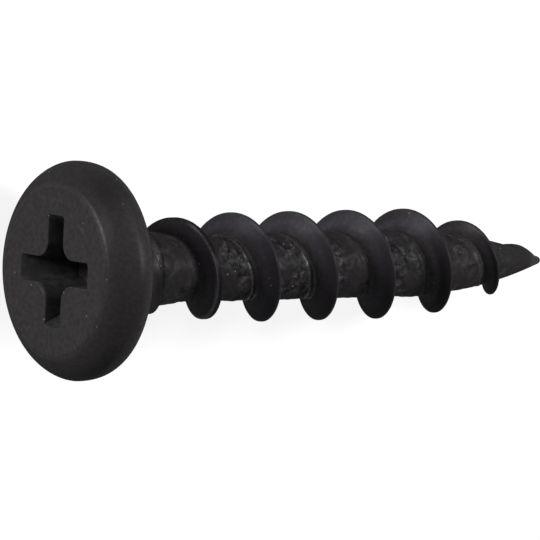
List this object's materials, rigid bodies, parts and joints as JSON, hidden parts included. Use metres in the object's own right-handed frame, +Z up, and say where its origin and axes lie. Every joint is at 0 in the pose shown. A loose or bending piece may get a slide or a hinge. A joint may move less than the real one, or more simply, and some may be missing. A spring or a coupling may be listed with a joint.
{
  "type": "assembly screw",
  "caption": "Short black steel assembly screw with a low pan head, a cross drive recess, a deep coarse thread and a sharp point, lying on its side.",
  "frame": {"origin": "middle of the bottom of the bounding box, on the ground that the screw lies on", "axes": "+X along the length from the head to the point, as the screw lies; +Y across it; +Z up. The screw's own axis dips 7.93 degrees below +X, because the rim of the head is wider than the thread"},
  "size_m": [0.0226, 0.008, 0.008],
  "materials": {
    "black_phosphate": "matt black phosphate coat on cold-formed steel"
  },
  "bodies": {
    "root": {"screw": "black_phosphate"}
  },
  "joints": []
}
